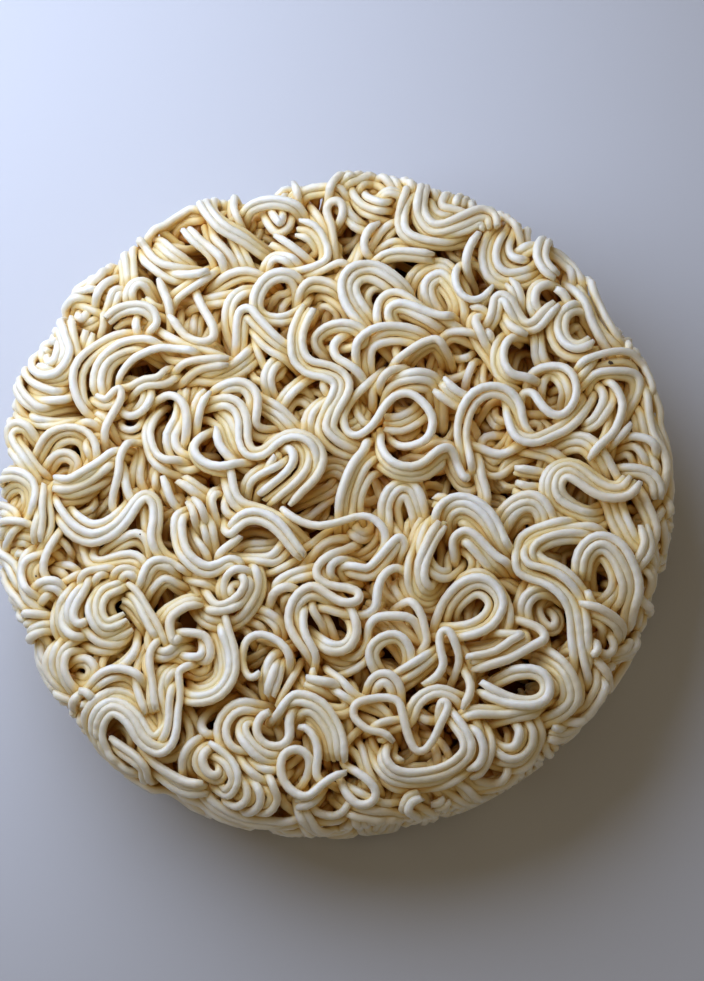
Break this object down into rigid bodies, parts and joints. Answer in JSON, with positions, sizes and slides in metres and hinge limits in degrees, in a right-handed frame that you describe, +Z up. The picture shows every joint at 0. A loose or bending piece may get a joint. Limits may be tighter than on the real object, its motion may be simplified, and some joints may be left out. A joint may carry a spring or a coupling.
{
  "type": "block of instant ramen",
  "caption": "Round block of dried wavy noodles, flat underneath and pressed smooth round its wall, with loose loops, coils and arches on top.",
  "frame": {"origin": "middle of the underside, on the surface that the block rests on", "axes": "+Z up, through the block's thickness, towards the loose side; X and Y lie in the foot's plane"},
  "size_m": [0.1094, 0.11, 0.0289],
  "materials": {
    "dried_noodle": "waxy, pale ivory to cream"
  },
  "bodies": {
    "root": {"noodle_block": "dried_noodle"}
  },
  "joints": []
}
